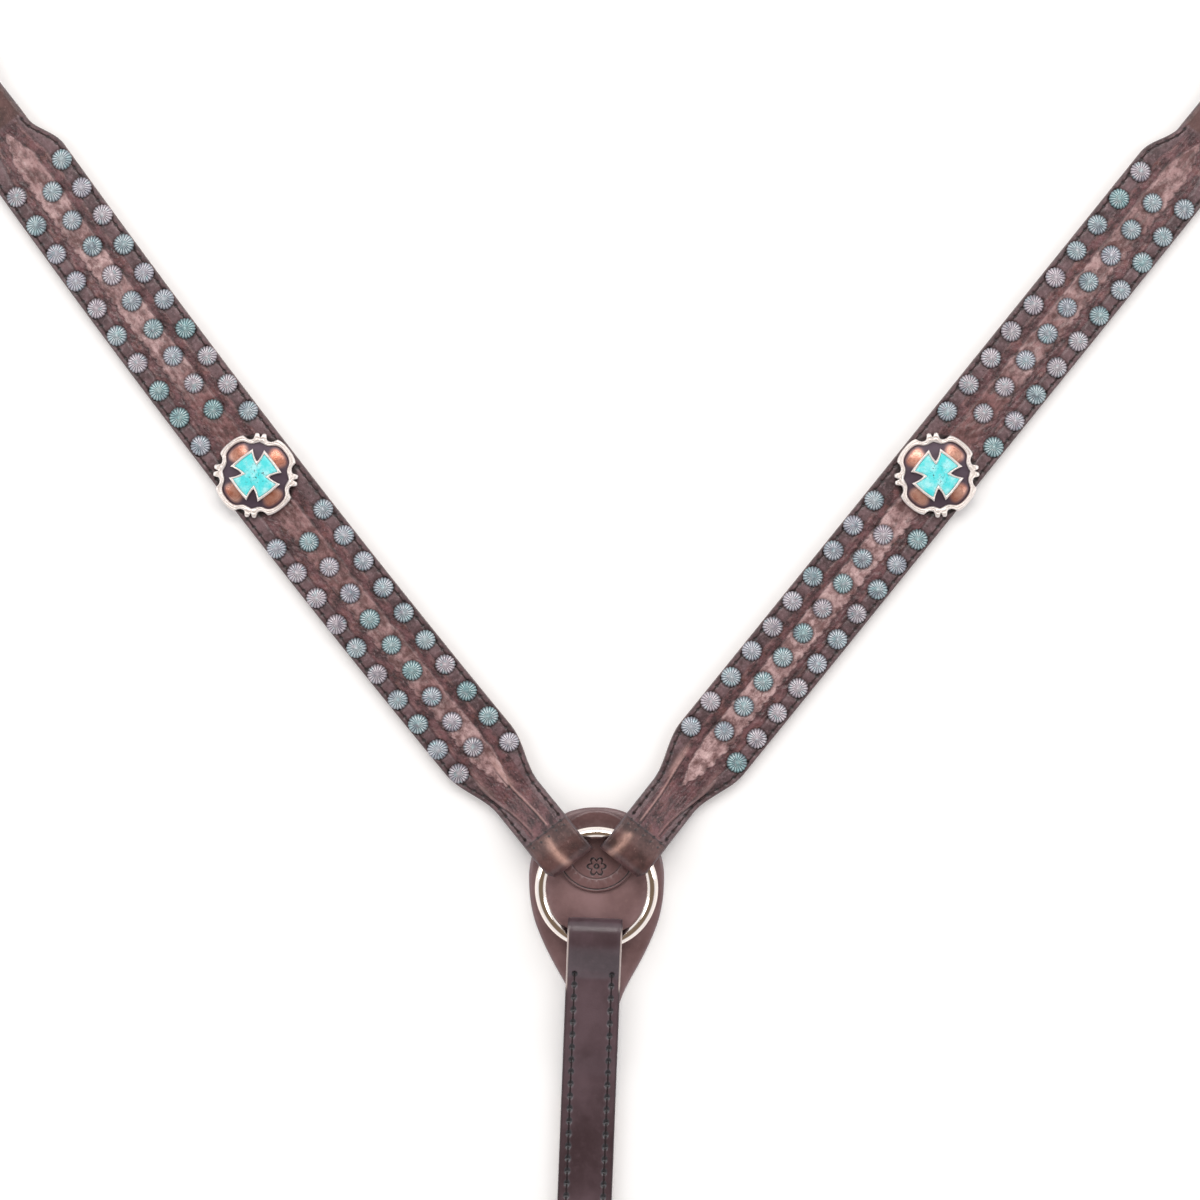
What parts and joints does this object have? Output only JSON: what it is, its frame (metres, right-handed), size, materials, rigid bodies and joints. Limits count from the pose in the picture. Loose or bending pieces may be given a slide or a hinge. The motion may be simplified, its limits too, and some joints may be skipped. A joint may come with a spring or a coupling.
{
  "type": "breastplate",
  "caption": "Western horse breastplate with two studded, tooled shoulder straps and a belly strap on a centre ring, tug buckles and a swivel snap.",
  "frame": {"origin": "point on the back of the teardrop safe that lies under the centre of the centre ring; every piece lies flat on the plane z = 0", "axes": "+Z out of the tooled face, away from the horse; +Y from the ring up between the two shoulder straps; +X across, towards the strap that the viewer of the tooled face sees on the right"},
  "size_m": [0.8277, 0.841, 0.0186],
  "materials": {
    "tooled_leather": "tooled dark brown leather with a rubbed reddish pattern",
    "plain_leather": "smooth oiled dark brown leather",
    "safe_leather": "smooth mid-brown leather with a waxed sheen",
    "patch_leather": "stamped brown leather",
    "lining_leather": "napped flesh-side lining",
    "patina_metal": "antiqued metal with verdigris and pinkish-grey patina",
    "nickel": "bright nickel plate",
    "copper": "antiqued copper, blackened in the hollows",
    "silver": "antiqued warm silver plate",
    "turquoise": "speckled turquoise inlay"
  },
  "bodies": {
    "belly": {"belly_face": "plain_leather", "belly_lining": "lining_leather", "ring_safe": "safe_leather", "round_patch": "patch_leather"},
    "ring": {"center_ring": "nickel"},
    "left_strap": {"left_face": "tooled_leather", "left_lining": "lining_leather", "left_spots_lower_outer": "patina_metal", "left_spots_lower_middle": "patina_metal", "left_spots_lower_inner": "patina_metal", "left_spots_upper_outer": "patina_metal", "left_spots_upper_middle": "patina_metal", "left_spots_upper_inner": "patina_metal", "left_concho_base": "copper", "left_concho_border": "silver", "left_concho_cross": "silver", "left_concho_stone": "turquoise", "left_concho_screw": "nickel"},
    "left_loop_ring": {"left_loop": "nickel"},
    "left_tug_strap": {"left_tug": "plain_leather", "left_keeper": "plain_leather", "left_buckle": "nickel"},
    "left_pin": {"left_tongue": "nickel"},
    "right_strap": {"right_face": "tooled_leather", "right_lining": "lining_leather", "right_spots_lower_outer": "patina_metal", "right_spots_lower_middle": "patina_metal", "right_spots_lower_inner": "patina_metal", "right_spots_upper_outer": "patina_metal", "right_spots_upper_middle": "patina_metal", "right_spots_upper_inner": "patina_metal", "right_concho_base": "copper", "right_concho_border": "silver", "right_concho_cross": "silver", "right_concho_stone": "turquoise", "right_concho_screw": "nickel"},
    "right_loop_ring": {"right_loop": "nickel"},
    "right_tug_strap": {"right_tug": "plain_leather", "right_keeper": "plain_leather", "right_buckle": "nickel"},
    "right_pin": {"right_tongue": "nickel"},
    "snap_swivel_eye": {"snap_eye": "nickel"},
    "snap_body": {"snap_hook": "nickel"},
    "snap_plunger": {"snap_bolt": "nickel"}
  },
  "joints": [
    {"name": "ring_tilt", "type": "hinge", "parent": "belly", "child": "ring", "pos_m": [-0.00099, -0.02578, 0.0109], "axis": [0.9993, -0.0384, 0], "range_deg": [0, 30]},
    {"name": "left_strap_swing", "type": "hinge", "parent": "ring", "child": "left_strap", "pos_m": [0, 0, 0.0109], "axis": [0, 0, 1], "range_deg": [0, 35]},
    {"name": "left_loop_hinge", "type": "hinge", "parent": "left_strap", "child": "left_loop_ring", "pos_m": [-0.29826, 0.38118, 0.0052], "axis": [0.7891, 0.6143, 0], "range_deg": [-60, 90]},
    {"name": "left_tug_hinge", "type": "hinge", "parent": "left_loop_ring", "child": "left_tug_strap", "pos_m": [-0.31116, 0.39775, 0.0052], "axis": [0.7891, 0.6143, 0], "range_deg": [-60, 60]},
    {"name": "left_tongue_hinge", "type": "hinge", "parent": "left_tug_strap", "child": "left_pin", "pos_m": [-0.33696, 0.43089, 0.0078], "axis": [0.7891, 0.6143, 0], "range_deg": [0, 25]},
    {"name": "right_strap_swing", "type": "hinge", "parent": "ring", "child": "right_strap", "pos_m": [0, 0, 0.0109], "axis": [0, 0, 1], "range_deg": [-35, 0]},
    {"name": "right_loop_hinge", "type": "hinge", "parent": "right_strap", "child": "right_loop_ring", "pos_m": [0.30487, 0.37592, 0.0052], "axis": [0.7782, -0.628, 0], "range_deg": [-60, 90]},
    {"name": "right_tug_hinge", "type": "hinge", "parent": "right_loop_ring", "child": "right_tug_strap", "pos_m": [0.31805, 0.39226, 0.0052], "axis": [0.7782, -0.628, 0], "range_deg": [-60, 60]},
    {"name": "right_tongue_hinge", "type": "hinge", "parent": "right_tug_strap", "child": "right_pin", "pos_m": [0.34443, 0.42495, 0.0078], "axis": [0.7782, -0.628, 0], "range_deg": [0, 25]},
    {"name": "snap_eye_hinge", "type": "hinge", "parent": "belly", "child": "snap_swivel_eye", "pos_m": [-0.0096, -0.24982, 0.0052], "axis": [-0.9993, 0.0384, 0], "range_deg": [-90, 90]},
    {"name": "snap_swivel", "type": "hinge", "parent": "snap_swivel_eye", "child": "snap_body", "pos_m": [-0.01036, -0.2698, 0.0052], "axis": [-0.0384, -0.9993, 0], "continuous": true},
    {"name": "snap_bolt_slide", "type": "slide", "parent": "snap_body", "child": "snap_plunger", "axis": [0.0384, 0.9993, 0], "range_m": [0, 0.0095], "stiffness_N_per_m": 250, "springref_m": -0.008}
  ]
}
